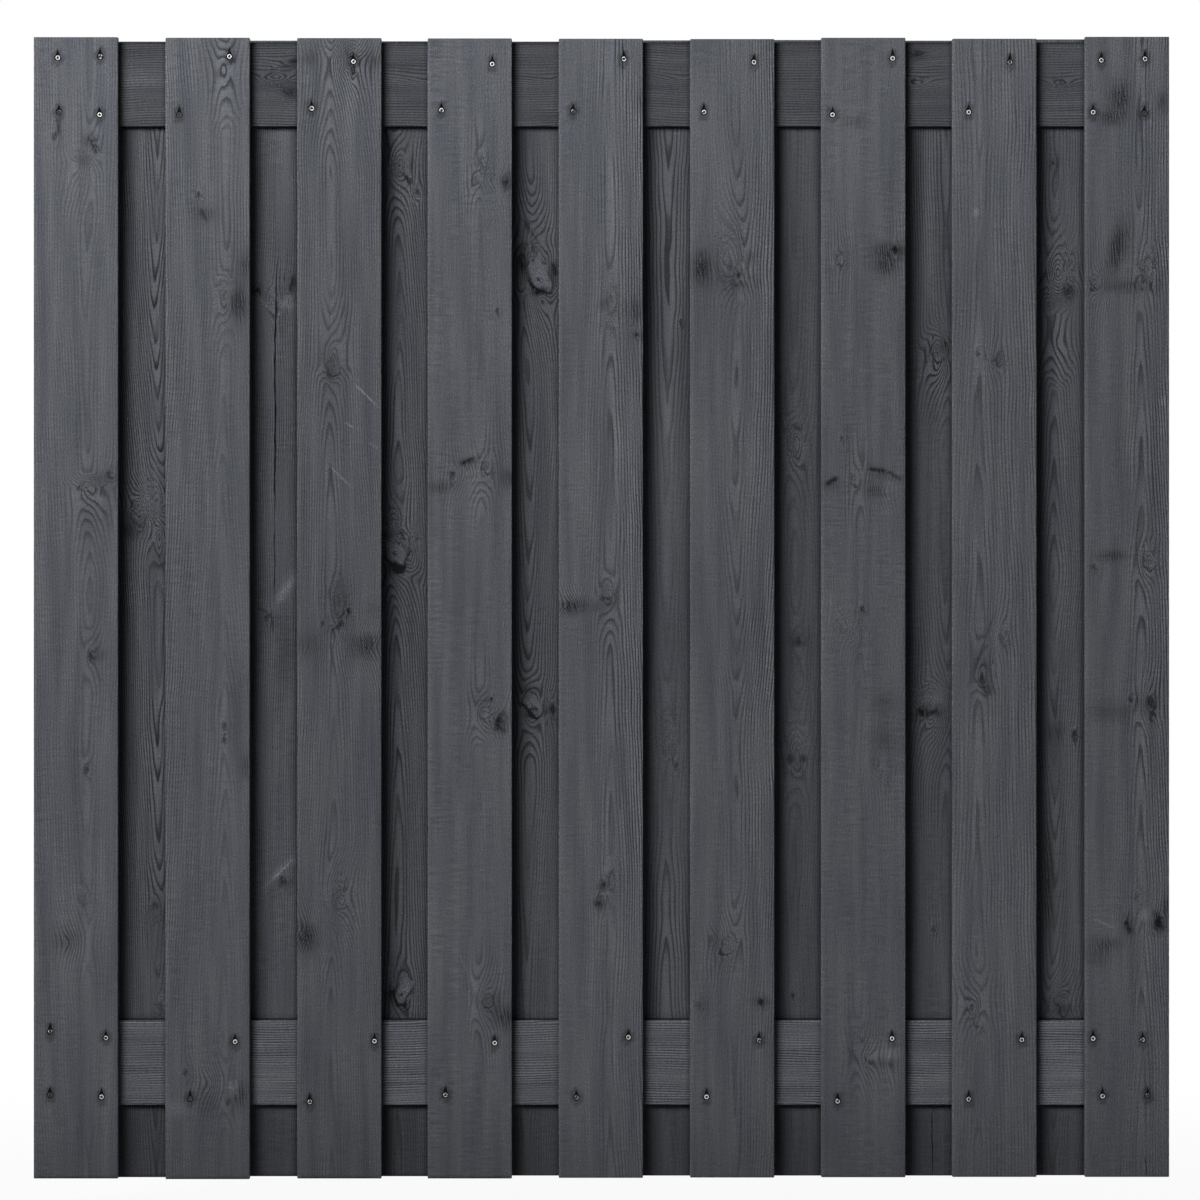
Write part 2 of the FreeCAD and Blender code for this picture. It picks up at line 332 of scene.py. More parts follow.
            (108, 428, 126, 386, -1.2, 4.0), (62, 414, 75, 384, -1.0, 3.5), (96, 762, 112, 748, -1.0, 3.0),
            (100, 736, 116, 728, -0.9, 3.0), (8, 412, 52, 392, 0.6),
        ],
        "splits": [([(96, -2), (97, 14), (95, 34)], 1.4, 5.0)],
    },
    "rear_board_1": {
        "pith": 88, "rings": 3.4, "lines": (1.15, 1.0), "saw": (0.6, 0.6), "tint": 0.87,
        "layers": [(0, 150), (900, 111), (1300, 87), (1800, 60)],
        "knots": [
            (61, 1049, 12.7, 1.2, 0, "sound"), (85, 421, 7.9, 2.4, 0, "eye"), (93, 268, 6.3, 2, 0, "pin"),
        ],
        "shades": [
            (44, 1023, 16, 13, -0.4), (93, 976, 10, 22, -0.25), (61, 1071, 22, 13, 0.1),
            (87, 429, 10, 16, -0.2), (95, 268, 8, 16, 0.2), (34, 913, 13, 317, -0.1),
        ],
        "nests": [
            (58, 1062, 14, 24, 10, 0, 23.8, 1.3), (92, 1015, 9, 25, 55, 0, 27.2, 1.6),
            (89, 1070, 9, 40, 10, 0, 20.4, 1.2),
        ],
    },
    "rear_board_2": {
        "pith": -60, "rings": 3.6, "lines": (0.7, 0.7), "saw": (0.8, 1.0), "tint": 0.92,
        "layers": [(0, 30), (900, 34), (1800, 30)],
        "knots": [
            (41, 1405, 4.0, 1.2, 0, "hole"), (63, 1382, 11.1, 1.1, 0, "eye"), (96, 1409, 6.3, 2, 0, "dark"),
            (57, 886, 4.8, 1.5, 0, "pin"), (80, 469, 6.3, 1.5, 0, "pin"),
        ],
        "shades": [
            (92, 830, 22, 70, -0.14), (84, 928, 8, 34, 0.24, -34), (78, 484, 6, 32, 0.2, -46),
            (38, 1404, 10, 8, -0.4), (91, 1382, 16, 8, 0.2), (96, 1412, 6, 13, -0.4),
            (57, 884, 8, 10, -0.2), (85, 463, 13, 6, -0.3), (104, 1210, 26, 230, -0.18),
        ],
        "scratches": [
            (36, 1398, 70, 1366, 0.4, 3.5), (71, 1367, 104, 1413, 0.3, 5.0), (67, 902, 102, 955, 0.25, 6.0),
            (36, 901, 59, 893, -0.8, 2.0), (62, 892, 67, 854, -1.0, 2.0), (52, 458, 104, 508, 0.7),
        ],
        "splits": [
            ([(71, 1446), (70, 1380), (68, 1290), (69, 1200), (68, 1110), (68, 1040)], 3.0, 7.0),
            ([(67, 1046), (68, 980), (67, 905)], 1.4, 5.0),
        ],
    },
    "rear_board_3": {
        "pith": 55, "rings": 3.6, "lines": (0.85, 0.9), "saw": (0.6, 0.6), "tint": 0.75,
        "layers": [(0, 0), (900, 30), (1422, 55), (1800, 65)],
        "knots": [
            (55, 1602, 11.1, 1.2, 0, "eye"), (87, 1558, 5.5, 1, 0, "pin"), (47, 1035, 7.9, 2, 0, "eye"),
            (52, 984, 17.0, 1.15, 40, "ringed"), (87, 1009, 4.8, 1, 0, "pin"),
            (63, 296, 15.8, 1.3, 0, "ringed"),
        ],
        "shades": [
            (54, 1602, 19, 16, -0.1), (87, 1546, 13, 10, 0.1), (33, 1014, 13, 8, -0.3),
            (50, 963, 16, 5, -0.5), (87, 1006, 10, 6, 0.15), (50, 1198, 10, 95, 0.08),
            (42, 285, 13, 13, -0.2),
        ],
        "nests": [
            (50, 1030, 16, 40, 10, 0, 20.4, 1.1), (60, 1600, 16, 50, 40, 0, 23.8, 1.1),
            (52, 955, 18, 14, 50, 0, 17, 0.9),
        ],
        "scratches": [
            (60, 1592, 80, 1571, -1.2, 3.0), (58, 1024, 64, 1012, -1.2, 4.0), (36, 968, 68, 966, -1.4, 3.5),
        ],
    },
    "rear_board_4": {
        "pith": 54, "rings": 3.6, "lines": (0.68, 0.68), "saw": (0.6, 0.6), "tint": 0.78,
        "layers": [(0, 110), (700, 90), (1242, 65), (1800, 55)],
        "knots": [
            (62, 1470, 6.3, 3, 20, "dark"), (71, 1425, 16.6, 1.55, 15, "ringed"),
            (60, 748, 14.5, 1.35, 0, "ringed"), (93, 740, 6.3, 1, 0, "dark"),
        ],
        "shades": [
            (44, 1448, 6, 25, -0.7), (93, 1432, 5, 13, -0.6), (69, 1401, 10, 5, -0.6),
            (60, 732, 11, 5, -0.7), (92, 741, 10, 10, -0.35), (47, 770, 10, 10, -0.3),
            (60, 770, 13, 6, -0.2),
        ],
        "nests": [
            (62, 1480, 18, 60, 14, 20, 23.8, 1.0), (58, 735, 20, 32, 36, 0, 20.4, 1.3),
            (72, 1385, 22, 14, 50, 0, 20.4, 1.0),
        ],
        "scratches": [
            (36, 1462, 48, 1434, -1.5, 5.0), (92, 1452, 98, 1424, -1.3, 4.0),
            (58, 1398, 90, 1408, -1.2, 4.0), (40, 1524, 76, 1470, -0.7, 3.0), (51, 739, 70, 741, -1.4, 3.0),
            (86, 728, 98, 720, -0.8, 3.0),
        ],
    },
    "rear_board_5": {
        "pith": 67, "rings": 5.0, "lines": (0.24, 0.24), "saw": (0.5, 0.5), "tint": 0.84,
        "layers": [(0, 18), (300, 34), (518, 43), (600, 44), (709, 42), (1100, 32), (1489, 22), (1800, 14)],
        "knots": [
            (89, 1353, 3.2, 2, 0, "pin"), (67, 708, 11.1, 3, 0, "eye"), (82, 650, 4.8, 1.5, 0, "pin"),
        ],
        "shades": [
            (42, 1150, 5, 420, -0.12), (93, 1150, 5, 420, -0.13), (66, 1100, 6, 400, 0.08),
            (68, 708, 10, 48, 0.05),
        ],
        "nests": [(70, 360, 45, 150, 160, 0, 0, 1.2), (70, 1480, 45, 330, 260, 0, 0, 1.4)],
    },
    "rear_board_6": {
        "pith": 63, "rings": 4.4, "lines": (0.27, 0.27), "saw": (0.5, 0.5), "tint": 0.72,
        "layers": [(0, 90), (774, 72), (1133, 63), (1800, 54)],
        "knots": [
            (65, 1166, 12.7, 2, 0, "eye"), (69, 849, 9.5, 1.2, 0, "eye"), (66, 681, 14.3, 2, 0, "eye"),
            (58, 661, 4.0, 1, 0, "dark"), (76, 661, 4.0, 1, 0, "dark"), (62, 285, 4.8, 1, 0, "pin"),
        ],
        "shades": [
            (70, 849, 11, 10, -0.4), (57, 661, 6, 6, -0.5), (76, 661, 6, 6, -0.5), (66, 699, 13, 19, 0.1),
        ],
        "nests": [(67, 1160, 16, 24, 60, 0, 23.8, 1.2), (66, 660, 16, 30, 40, 0, 20.4, 1.0)],
        "scratches": [(56, 1190, 78, 1182, -0.9, 4.0)],
    },
    "rear_board_7": {
        "pith": 92, "rings": 3.8, "lines": (0.28, 0.22), "saw": (0.75, 0.75), "tint": 0.75,
        "layers": [(0, 60), (900, 52), (1800, 44)],
        "knots": [
            (80, 1307, 11.1, 1.8, 0, "sound"), (94, 1316, 4.8, 1, 0, "dark"),
            (71, 753, 17.4, 1.3, 0, "sound"), (57, 735, 6.3, 1, 0, "dark"), (74, 390, 3.2, 1, 0, "dark"),
        ],
        "shades": [
            (46, 1560, 5, 130, -0.14), (88, 1500, 6, 160, -0.14), (66, 1560, 7, 150, 0.1),
            (93, 1315, 8, 13, -0.4), (57, 734, 10, 8, -0.55), (84, 734, 8, 8, -0.4), (71, 759, 16, 13, 0.1),
            (44, 1301, 10, 95, -0.1),
        ],
        "nests": [
            (60, 1580, 45, 240, 140, 0, 0, 1.4), (80, 1292, 22, 45, 60, 0, 34, 2.1),
            (66, 735, 26, 22, 50, 0, 34, 1.3),
        ],
        "scratches": [(46, 742, 58, 730, -1.4, 4.0), (66, 732, 84, 740, -1.2, 4.0)],
        "splits": [([(72, -2), (72, 40), (71, 80), (72, 109)], 1.8, 6.0)],
    },
    "rear_board_8": {
        "pith": 59, "rings": 3.8, "lines": (0.58, 0.58), "saw": (0.6, 0.6), "tint": 0.85,
        "layers": [
            (0, 140), (632, 107.5), (949, 90), (1100, 99), (1324, 112.5), (1500, 122.5), (1800, 127.5),
        ],
        "knots": [
            (57, 1605, 3.2, 1, 0, "dark"), (65, 1430, 12.7, 2, 0, "eye"), (81, 1401, 4.8, 1, 0, "dark"),
            (86, 1448, 7.9, 1.6, 0, "eye"), (73, 271, 11.1, 1.2, 0, "sound"), (91, 699, 4.8, 2, 0, "dark"),
        ],
        "shades": [
            (57, 1605, 8, 10, -0.25), (82, 1401, 10, 10, -0.5), (48, 469, 8, 79, -0.5),
            (59, 703, 13, 16, -0.3), (73, 263, 14, 6, -0.4), (63, 1388, 25, 16, -0.1),
        ],
        "nests": [
            (72, 268, 16, 30, 12, 0, 24, 1.5), (60, 1160, 45, 80, 140, 0, 0, 1.1),
            (64, 1318, 21, 52, 80, 0, 19, 1.7), (62, 1430, 20, 44, 38, 0, 27, 1.9),
        ],
    },
    "top_rail": {
        "pith": 150, "rings": 4.0, "lines": (0.7, 0.7), "saw": (0.5, 0.5), "tint": 0.72,
        "layers": [(0, 50), (600, 46), (1200, 52), (1793, 48)],
        "knots": [
            (30, 411, 7, 1.2, 0, "dark"), (77, 405, 6, 1.2, 0, "sound"), (54, 378, 8, 1.5, 0, "eye"),
            (17, 1396, 5, 1, 0, "dark"), (62, 1390, 5, 1, 0, "dark"), (63, 1624, 5, 1, 0, "pin"),
        ],
        "shades": [
            (34, 409, 8, 16, -0.4), (80, 408, 8, 14, -0.5), (19, 1395, 9, 14, -0.4),
            (60, 170, 12, 40, 0.12),
        ],
        "nests": [
            (64, 1622, 9, 24, 24, 0, 14, 1.8), (65, 1400, 10, 26, 26, 0, 12, 1.5),
            (56, 384, 12, 40, 40, 0, 14, 1.6), (60, 617, 10, 36, 36, 0, 12, 1.3),
            (60, 817, 10, 40, 40, 0, 12, 1.3), (58, 1024, 10, 36, 36, 0, 12, 1.3),
        ],
    },
    "bottom_rail": {
        "pith": -40, "rings": 4.0, "lines": (1.1, 1.1), "saw": (0.6, 0.6), "tint": 1.28,
        "layers": [(0, 40), (900, 46), (1793, 42)],
        "splits": [([(100, 480), (99, 620), (100, 760), (101, 900)], 0.9, 3.0)],
    },
}

# Stain over the front screw heads, left to right: 0 bare, 1 covered
COVERS = {
    "top": [
        0.25, 0.75, 0.0, 0.5, 0.65, 0.0, 0.35, 0.3, 0.5, 0.0, 0.65, 0.45, 0.5, 0.3, 0.1, 0.0, 0.1, 0.6, 0.3,
        0.35, 0.8, 0.3,
    ],
    "bottom": [
        0.85, 0.65, 0.3, 0.4, 0.8, 0.1, 0.45, 0.3, 0.5, 0.1, 0.6, 0.3, 0.0, 0.55, 0.35, 0.15, 0.35, 0.4, 0.15,
        0.35, 0.6, 0.75,
    ],
}


class Signal:
    """A number that runs through a node tree, so that a sum is written as plain arithmetic."""

    def __init__(self, tree, socket):
        self.tree = tree
        self.socket = socket

    def work(self, operation, *others):
        inputs = dict(enumerate((self,) + others))
        node = new_node(self.tree, "ShaderNodeMath", inputs, operation=operation)
        return Signal(self.tree, node.outputs[0])

    def __add__(self, other):
        return self.work("ADD", other)

    def __sub__(self, other):
        return self.work("SUBTRACT", other)

    def __rsub__(self, other):
        return self.work("MULTIPLY_ADD", -1.0, other)

    def __mul__(self, other):
        return self.work("MULTIPLY", other)

    def __truediv__(self, other):
        return self.work("DIVIDE", other)

    __radd__ = __add__
    __rmul__ = __mul__

    def least(self, other):
        return self.work("MINIMUM", other)

    def most(self, other):
        return self.work("MAXIMUM", other)

    def root(self):
        return self.work("SQRT")

    def wrapped(self):
        return self.work("FRACT")

    def wave(self):
        return self.work("SINE")

    def size(self):
        return self.work("ABSOLUTE")

    def fading(self):
        """e to this number, for a fall from 1."""
        return self.work("EXPONENT")

    def bell(self):
        """1 at 0, falling off on both sides."""
        return (self * self * -1.0).fading()

    def ramp(self, start, end):
        """0 before start and 1 after end, with a smooth rise between them."""
        inputs = {"Value": self, "From Min": start, "From Max": end}
        node = new_node(self.tree, "ShaderNodeMapRange", inputs, interpolation_type="SMOOTHSTEP")
        return Signal(self.tree, node.outputs["Result"])


def feed(tree, place, value):
    """Wire a signal or a socket into an input, or set a plain value on it."""
    if isinstance(value, Signal):
        tree.links.new(value.socket, place)
    elif isinstance(value, bpy.types.NodeSocket):
        tree.links.new(value, place)
    else:
        place.default_value = value


def feed_all(tree, node, inputs):
    """Inputs of a node, by name or number."""
    for place, value in inputs.items():
        feed(tree, node.inputs[place], value)


def new_node(tree, kind, inputs, **settings):
    node = tree.nodes.new(kind)
    for name, value in settings.items():
        setattr(node, name, value)
    feed_all(tree, node, inputs)
    return node


def parts_of(tree, vector):
    """The three numbers of a vector."""
    return [Signal(tree, out) for out in new_node(tree, "ShaderNodeSeparateXYZ", {0: vector}).outputs]


def vector_of(tree, x, y, z):
    return new_node(tree, "ShaderNodeCombineXYZ", {0: x, 1: y, 2: z}).outputs[0]


def vector_work(tree, operation, *values, **named):
    inputs = {**dict(enumerate(values)), **named}
    return new_node(tree, "ShaderNodeVectorMath", inputs, operation=operation).outputs[0]


def speckle(tree, place, scale, detail, roughness, flat=False):
    """Noise from 0 to 1 about 0.5, at a place that is a vector socket."""
    inputs = {"Vector": place, "Scale": scale, "Detail": detail, "Roughness": roughness}
    kind = "2D" if flat else "3D"
    return Signal(tree, new_node(tree, "ShaderNodeTexNoise", inputs, noise_dimensions=kind).outputs[0])


def attribute(tree, name):
    """A named attribute of the piece's own mesh, as three numbers."""
    node = new_node(tree, "ShaderNodeAttribute", {}, attribute_type="GEOMETRY", attribute_name=name)
    return parts_of(tree, node.outputs["Vector"])


def new_material(name):
    material = bpy.data.materials.new(name)
    material.use_nodes = True
    tree = material.node_tree
    return material, tree, tree.nodes["Principled BSDF"]


def between(tree, share, first, second):
    """A colour between two, as a socket."""
    return new_node(tree, "ShaderNodeMix", {0: share, 6: first, 7: second}, data_type="RGBA").outputs[2]


def relief(tree, height, strength, distance):
    """The normal of a face with fine relief, its height in units of distance."""
    inputs = {"Strength": strength, "Distance": distance, "Height": height}
    return new_node(tree, "ShaderNodeBump", inputs).outputs[0]


def stained_softwood():
    """Dark grey stain on sawn softwood: rings cut by the face, fibres, saw marks, knots and scuffs."""
    material, tree, shader = new_material("dark_stained_softwood")
    across, depth, along = attribute(tree, "stick")
    pith_across, pith_depth, rings_per_mm = attribute(tree, "pith")
    knot_u, knot_v, knot_near = attribute(tree, "knot")
    knot_radius, knot_stretch, knot_bulge = attribute(tree, "knot_form")
    core_dark, rim_dark, inside_pale = attribute(tree, "knot_tone")
    shade, line_strength, saw_strength = attribute(tree, "stain")
    nest_u, nest_v, nest_near = attribute(tree, "nest")
    nest_swell, nest_lines, _ = attribute(tree, "nest_form")
    scratch_along, scratch_across, scratch_strength = attribute(tree, "scratch")
    edge_wear_and_highlight, end_grain, seed = attribute(tree, "wear")
    # The wash's first number holds the stick's tint and washes times its painted shade; the other two place
    # the painted joint line and dark arris
    tint, rail_line, dark_edge = attribute(tree, "wash")

    def grain_noise(pace, x, shift, detail=1.0, roughness=0.5):
        """Noise from -0.5 to 0.5 over a face, another one for every stick."""
        place = vector_of(tree, x * pace[0], along * pace[1] + seed * shift, 0.0)
        return speckle(tree, place, 1.0, detail, roughness, flat=True) - 0.5

    # No knot is a true oval: its outline wanders, in the knot's own measure
    place = vector_of(tree, knot_u * 0.6 + knot_radius, knot_v * 0.42 + seed, 0.0)
    crooked = speckle(tree, place, 1.0, 1.0, 0.6, flat=True)
    crooked = parts_of(tree, crooked.socket.node.outputs["Color"])
    u = knot_u + (crooked[0] - 0.5) * 1.8
    v = knot_v + (crooked[1] - 0.5) * 2.4

    # Grain flows round a knot as water does round a post, and stands up in rings about it
    flow_u = knot_u * 0.7 + u * 0.3
    flow_v = (knot_v * 0.7 + v * 0.3) / (knot_stretch * 0.5 + 1.6)
    flow_square = flow_u * flow_u + flow_v * flow_v
    bent = across - knot_radius * flow_u * knot_near * 0.9 / flow_square.most(1.0)
    swell = (flow_square.root() * -0.62).fading() * knot_bulge * knot_radius * knot_near

    # Distance from the heart gives the ring, and the late wood of a ring is its dark line
    wander = grain_noise(WANDER, bent, 1.0)
    ripple = grain_noise(RIPPLE, bent, 1.0)
    side = bent - pith_across
    nest_reach = (nest_u * nest_u + nest_v * nest_v + 0.05).root()
    nested = (nest_reach * -1.1).fading() * nest_near * nest_swell
    heart = (side * side + 110.0).root() + pith_depth + depth * 0.8 + swell + nested
    ring = (heart * rings_per_mm + wander * 1.2 + ripple * 0.55 + seed * 3.7).wrapped()
    late = ring.ramp(0.36, 0.80) * (1.0 - ring.ramp(0.86, 0.98))

    # Fibres: long streaks that follow the bent grain, and the fuzz that the saw leaves
    streaks = grain_noise(STREAKS, bent + depth, 11.0, 2.0, 0.7)
    fuzz = grain_noise(FUZZ, across + depth, 7.0, 1.0, 0.75)
    bands = grain_noise(BANDS, bent, 1.0, 1.0, 0.6)
    patchy = grain_noise(PATCHES, across, -1.0)
    # Brightness by height: paler towards the top, darker at the very foot, and a little paler over the lower
    # 300 to 850 mm
    height_tone = along.ramp(1350.0, 1800.0) - 0.9 * (1.0 - along.ramp(0.0, 170.0))
    height_tone = height_tone + 0.45 * (1.0 - along.ramp(300.0, 850.0))

    # Saw marks: the feed of the blade, square to the grain
    sawn = saw_strength * grain_noise(SAW_FEED, across, 1.0) * patchy.ramp(-0.20, 0.10)

    # Knots, in radii: core, rim with its darker lower side, halo in the fibres round it, rings inside
    knot_long = v / knot_stretch
    knot_reach = (u * u + knot_long * knot_long).root() + fuzz * 0.4
    core = (1.0 - knot_reach.ramp(0.45, 0.95)) * knot_near
    inside = (1.0 - knot_reach.ramp(0.85, 1.05)) * knot_near
    crescent = (0.60 - (knot_long + u * 0.5) * 0.55).most(0.05).least(1.3)
    rim = ((knot_reach - 1.0) * 5.5).bell() * crescent * knot_near
    halo = (knot_reach * 0.55).bell() * knot_near * (0.5 + streaks * 2.5)
    knot_rings = (knot_reach * 3.6).wrapped().ramp(0.5, 1.0) * inside
    pebbled = 1.0 + (knot_reach * 0.5).bell() * knot_near * 1.1
    heart_dot = (1.0 - knot_reach.ramp(0.06, 0.22)) * knot_near * (inside_pale * 5.0).least(0.8)

    # Smudges of gathered stain: torn lines with ragged ends rather than an even shade
    torn = (bent * 1.35 + along * 0.25 + ripple * 12.0).wave()
    ragged = (torn * 0.12 + fuzz * 1.0 + streaks * 0.6).ramp(-0.16, 0.18)
    smudge = ((1.0 - shade) * (0.30 + ragged * 0.95)).least(0.90)

    # Scuffs of raised pale fibre, dark strokes, and pale flecks
    scratch = (scratch_across + streaks * 1.2 + fuzz * 0.9).bell()
    scratch = scratch * (1.0 - scratch_along.size().ramp(0.35, 1.0))
    stroke = scratch * (scratch_strength * -1.0).most(0.0) * (0.42 + ragged * 0.30)
    scratch = scratch * scratch_strength.most(0.0) * (0.25 + fuzz.ramp(-0.08, 0.14))
    flecks = fuzz.ramp(0.20, 0.25) * streaks.ramp(0.05, 0.12)

    # Painted shade: a dark line in the joint between a rear board and the bottom rail, and on the top rail's
    # upper arris
    joint = ((along - JOINT_LEVEL) * 0.6).bell() * rail_line * 0.85
    joint = joint.most((1.0 - across.ramp(0.5, 1.7)) * dark_edge * 0.95)

    # How strongly the lines show: by the table, in patches, and more in knots, smudges and nests
    rough_grain = 0.20 + line_strength * 0.70
    lines_seen = line_strength * (0.25 + patchy.ramp(-0.20, 0.12) * 0.95)
    lines_seen = lines_seen.most(knot_near * rim_dark).most((1.0 - shade) * 1.4)
    lines_seen = lines_seen.most((nest_reach * 0.75).bell() * nest_near * nest_lines * 0.75)
    calm = 1.0 - (inside * inside_pale * 4.5).least(0.9)

    # Brightness, as shares of the stain's
    tone = 1.0 - (late - 0.34) * lines_seen * calm * 0.88
    tone = tone * (1.0 + streaks * rough_grain)
    tone = tone * (1.0 + fuzz * (0.55 + rough_grain * 0.35) * pebbled * 1.2).most(0.2)
    tone = tone * (1.0 + bands * 0.55) * (1.0 + height_tone * 0.20) * (1.0 + sawn * 0.60)
    tone = tone * (1.0 - core * core_dark) * (1.0 - rim * rim_dark) * (1.0 - halo * calm * rim_dark * 0.32)
    tone = tone * (1.0 + inside * inside_pale * 2.0) * (1.0 - knot_rings * 0.22) * (1.0 - heart_dot)
    # The tint also brings in the painted shade of corners, joints and screw seats
    tone = tone * (1.0 - smudge) * (1.0 - stroke.least(0.92)) * tint
    # Paler along the arrises: edge wear and a painted highlight
    tone = tone * (1.0 + edge_wear_and_highlight * (0.08 + fuzz * 0.9).most(0.0)) * (1.0 - end_grain * 0.35)
    tone = tone * (1.0 - joint) + scratch * 1.5 + flecks * 0.5

    colour = between(tree, bands.ramp(-0.2, 0.2), STAIN, WARMER_STAIN)
    toned = vector_work(tree, "SCALE", colour, Scale=tone.most(0.03))

    # Relief in millimetres: fibres, fuzz, saw marks and the sunk core of a knot in its raised collar
    raised = grain_noise(RELIEF, across + depth, 5.0, 2.0, 0.8)
    ring_out = (knot_u * knot_u + knot_v * knot_v * 0.5).root()
    cores = ((1.0 - ring_out.ramp(0.2, 0.9)) - ((ring_out - 1.5) * 1.2).bell() * 1.6) * knot_near
    height = raised * 0.9 + fuzz * 0.8 + sawn * 0.45 - cores * 0.5
    inputs = {"Base Color": toned, "Roughness": 0.82 + streaks * 0.2, "Specular IOR Level": 0.12}
    feed_all(tree, shader, {**inputs, "Normal": relief(tree, height, 1.0, MM)})
    return material


def brushed_stainless():
    """Bare stainless steel with fine turning marks, the wood stain that ran over some heads, and painted
    shade in the star recess and round the rim of a head.
    """
    material, tree, shader = new_material("brushed_stainless")
    cover, _, radius = attribute(tree, "screw")
    place = new_node(tree, "ShaderNodeTexCoord", {}).outputs["Object"]
    grain = speckle(tree, place, 2600.0, 2.0, 0.6)
    smear = speckle(tree, place, 420.0, 3.0, 0.6)
    stain_and_shade = ((smear - 0.5) * 2.4 + cover).ramp(0.40, 0.58)
    # The recess and the rim of the head take the stain colour, partly as stain and partly as painted shade of
    # the recess and of the seat round the head
    stain_and_shade = stain_and_shade.most(1.0 - radius.ramp(2.1, 2.35)).most(radius.ramp(3.2, 3.55) * 0.95)
    turning = (radius * 9.0).wave()
    height = turning * 0.4 + grain * 0.6 + stain_and_shade * 0.8
    inputs = {
        "Base Color": between(tree, stain_and_shade, BARE_STEEL, STAIN_AND_SHADE_ON_STEEL), "Metallic": 1.0 - stain_and_shade,
        "Roughness": 0.44 + grain * 0.16 + stain_and_shade * 0.25, "Normal": relief(tree, height, 0.35, 0.12 * MM),
    }
    feed_all(tree, shader, inputs)
    return material


def new_tree(name, sockets):
    """An empty Geometry Nodes tree with one geometry in and out, and the named inputs."""
    tree = bpy.data.node_groups.new(name, "GeometryNodeTree")
    rows = [("Geometry", "Geometry", "INPUT"), ("Geometry", "Geometry", "OUTPUT")]
    for label, kind, way in rows + [socket + ("INPUT",) for socket in sockets]:
        tree.interface.new_socket(label, in_out=way, socket_type="NodeSocket" + kind)
    entry, leave = [tree.nodes.new("NodeGroup" + end) for end in ("Input", "Output")]
    return tree, entry.outputs, leave


def finish_tree(tree, geometry, material, leave):
    """Realize Instances and Set Material, the last two steps of every tree."""
    real = new_node(tree, "GeometryNodeRealizeInstances", {0: geometry})
    painted = new_node(tree, "GeometryNodeSetMaterial", {"Geometry": real.outputs[0], "Material": material})
    feed(tree, leave.inputs[0], painted.outputs[0])


def move_points(tree, geometry, kind, value):
    """Set Position, by a new Position or an Offset."""
    return new_node(tree, "GeometryNodeSetPosition", {"Geometry": geometry, kind: value}).outputs[0]


def sawn_stick_tree():
    """A stick of sawn wood: a block of even cells whose outer cells are drawn in to the arris, the
    arris rounded off, the edges left as rough as the saw left them, then turned and set in place."""
    tree, get, leave = new_tree(
        "sawn_stick",
        [
            ("Size", "Vector"), ("Cells Across", "Int"), ("Cells Deep", "Int"), ("Cells Along", "Int"),
            ("Arris", "Float"), ("Roughness of Edges", "Float"), ("Seed", "Float"), ("Turn", "Vector"),
            ("Centre", "Vector"), ("Material", "Material"),
        ],
    )
    cells = [Signal(tree, get[label]) for label in ("Cells Across", "Cells Deep", "Cells Along")]
    counts = {"Vertices " + axis: count + 1.0 for axis, count in zip("XYZ", cells)}
    block = new_node(tree, "GeometryNodeMeshCube", {"Size": (2.0, 2.0, 2.0), **counts})

    # A point's place is read anew by every step that moves the points
    place = new_node(tree, "GeometryNodeInputPosition", {}).outputs[0]
    at = parts_of(tree, place)
    arris = Signal(tree, get["Arris"])
    halves = parts_of(tree, vector_work(tree, "SCALE", get["Size"], Scale=0.5))

    # Even part and outer cell of every direction
    spread = []
    for t, count, reach in zip(at, cells, halves):
        inner = (count - 2.0) / count
        even = t.least(inner).most(inner * -1.0)
        spread.append(even / inner * (reach - arris) + (t - even) / (1.0 - inner) * arris)
    shaped = move_points(tree, block.outputs["Mesh"], "Position", vector_of(tree, *spread))

    # Round the arrises about the block that lies one arris further in
    limits = [reach - arris for reach in halves]
    held = vector_of(tree, *[p.least(limit).most(limit * -1.0) for p, limit in zip(at, limits)])
    away = vector_work(tree, "NORMALIZE", vector_work(tree, "SUBTRACT", place, held))
    outward = vector_work(tree, "SCALE", away, Scale=arris)
    rounded = move_points(tree, shaped, "Position", vector_work(tree, "ADD", held, outward))

    # The long edges wander inwards a little
    noise_place = vector_of(tree, at[0] * 4.0 + Signal(tree, get["Seed"]), at[1] * 4.0, at[2])
    bite = speckle(tree, noise_place, 60.0, 3.0, 0.7).ramp(0.45, 0.85)
    near_edge = (at[0].size() / halves[0]).ramp(0.955, 1.0)
    inwards = at[0].work("SIGN") * bite * near_edge * Signal(tree, get["Roughness of Edges"]) * -1.0
    rough = move_points(tree, rounded, "Offset", vector_of(tree, inwards, 0.0, 0.0))

    inputs = {"Geometry": rough, "Rotation": get["Turn"], "Translation": get["Centre"]}
    turned = new_node(tree, "GeometryNodeTransform", inputs)
    finish_tree(tree, turned.outputs[0], get["Material"], leave)
    return tree


def screw_row_tree():
    """Screws set on the points of a row, each turned as its driver left it."""
    tree, get, leave = new_tree(
        "row_of_screws",
        [("Screw", "Object"), ("Facing", "Vector"), ("Seed", "Int"), ("Material", "Material")],
    )
    info = new_node(tree, "GeometryNodeObjectInfo", {"Object": get["Screw"]})
    inputs = {2: 0.0, 3: 2.0 * math.pi, "Seed": get["Seed"]}
    turn = new_node(tree, "FunctionNodeRandomValue", inputs, data_type="FLOAT")
    facing = vector_work(tree, "ADD", get["Facing"], vector_of(tree, 0.0, turn.outputs[1], 0.0))
    inputs = {"Points": get["Geometry"], "Instance": info.outputs["Geometry"], "Rotation": facing}
    rows = new_node(tree, "GeometryNodeInstanceOnPoints", inputs)
    finish_tree(tree, rows.outputs[0], get["Material"], leave)
    return tree


def place_object(name, data):
    made = bpy.data.objects.new(name, data)
    bpy.context.scene.collection.objects.link(made)
    return made


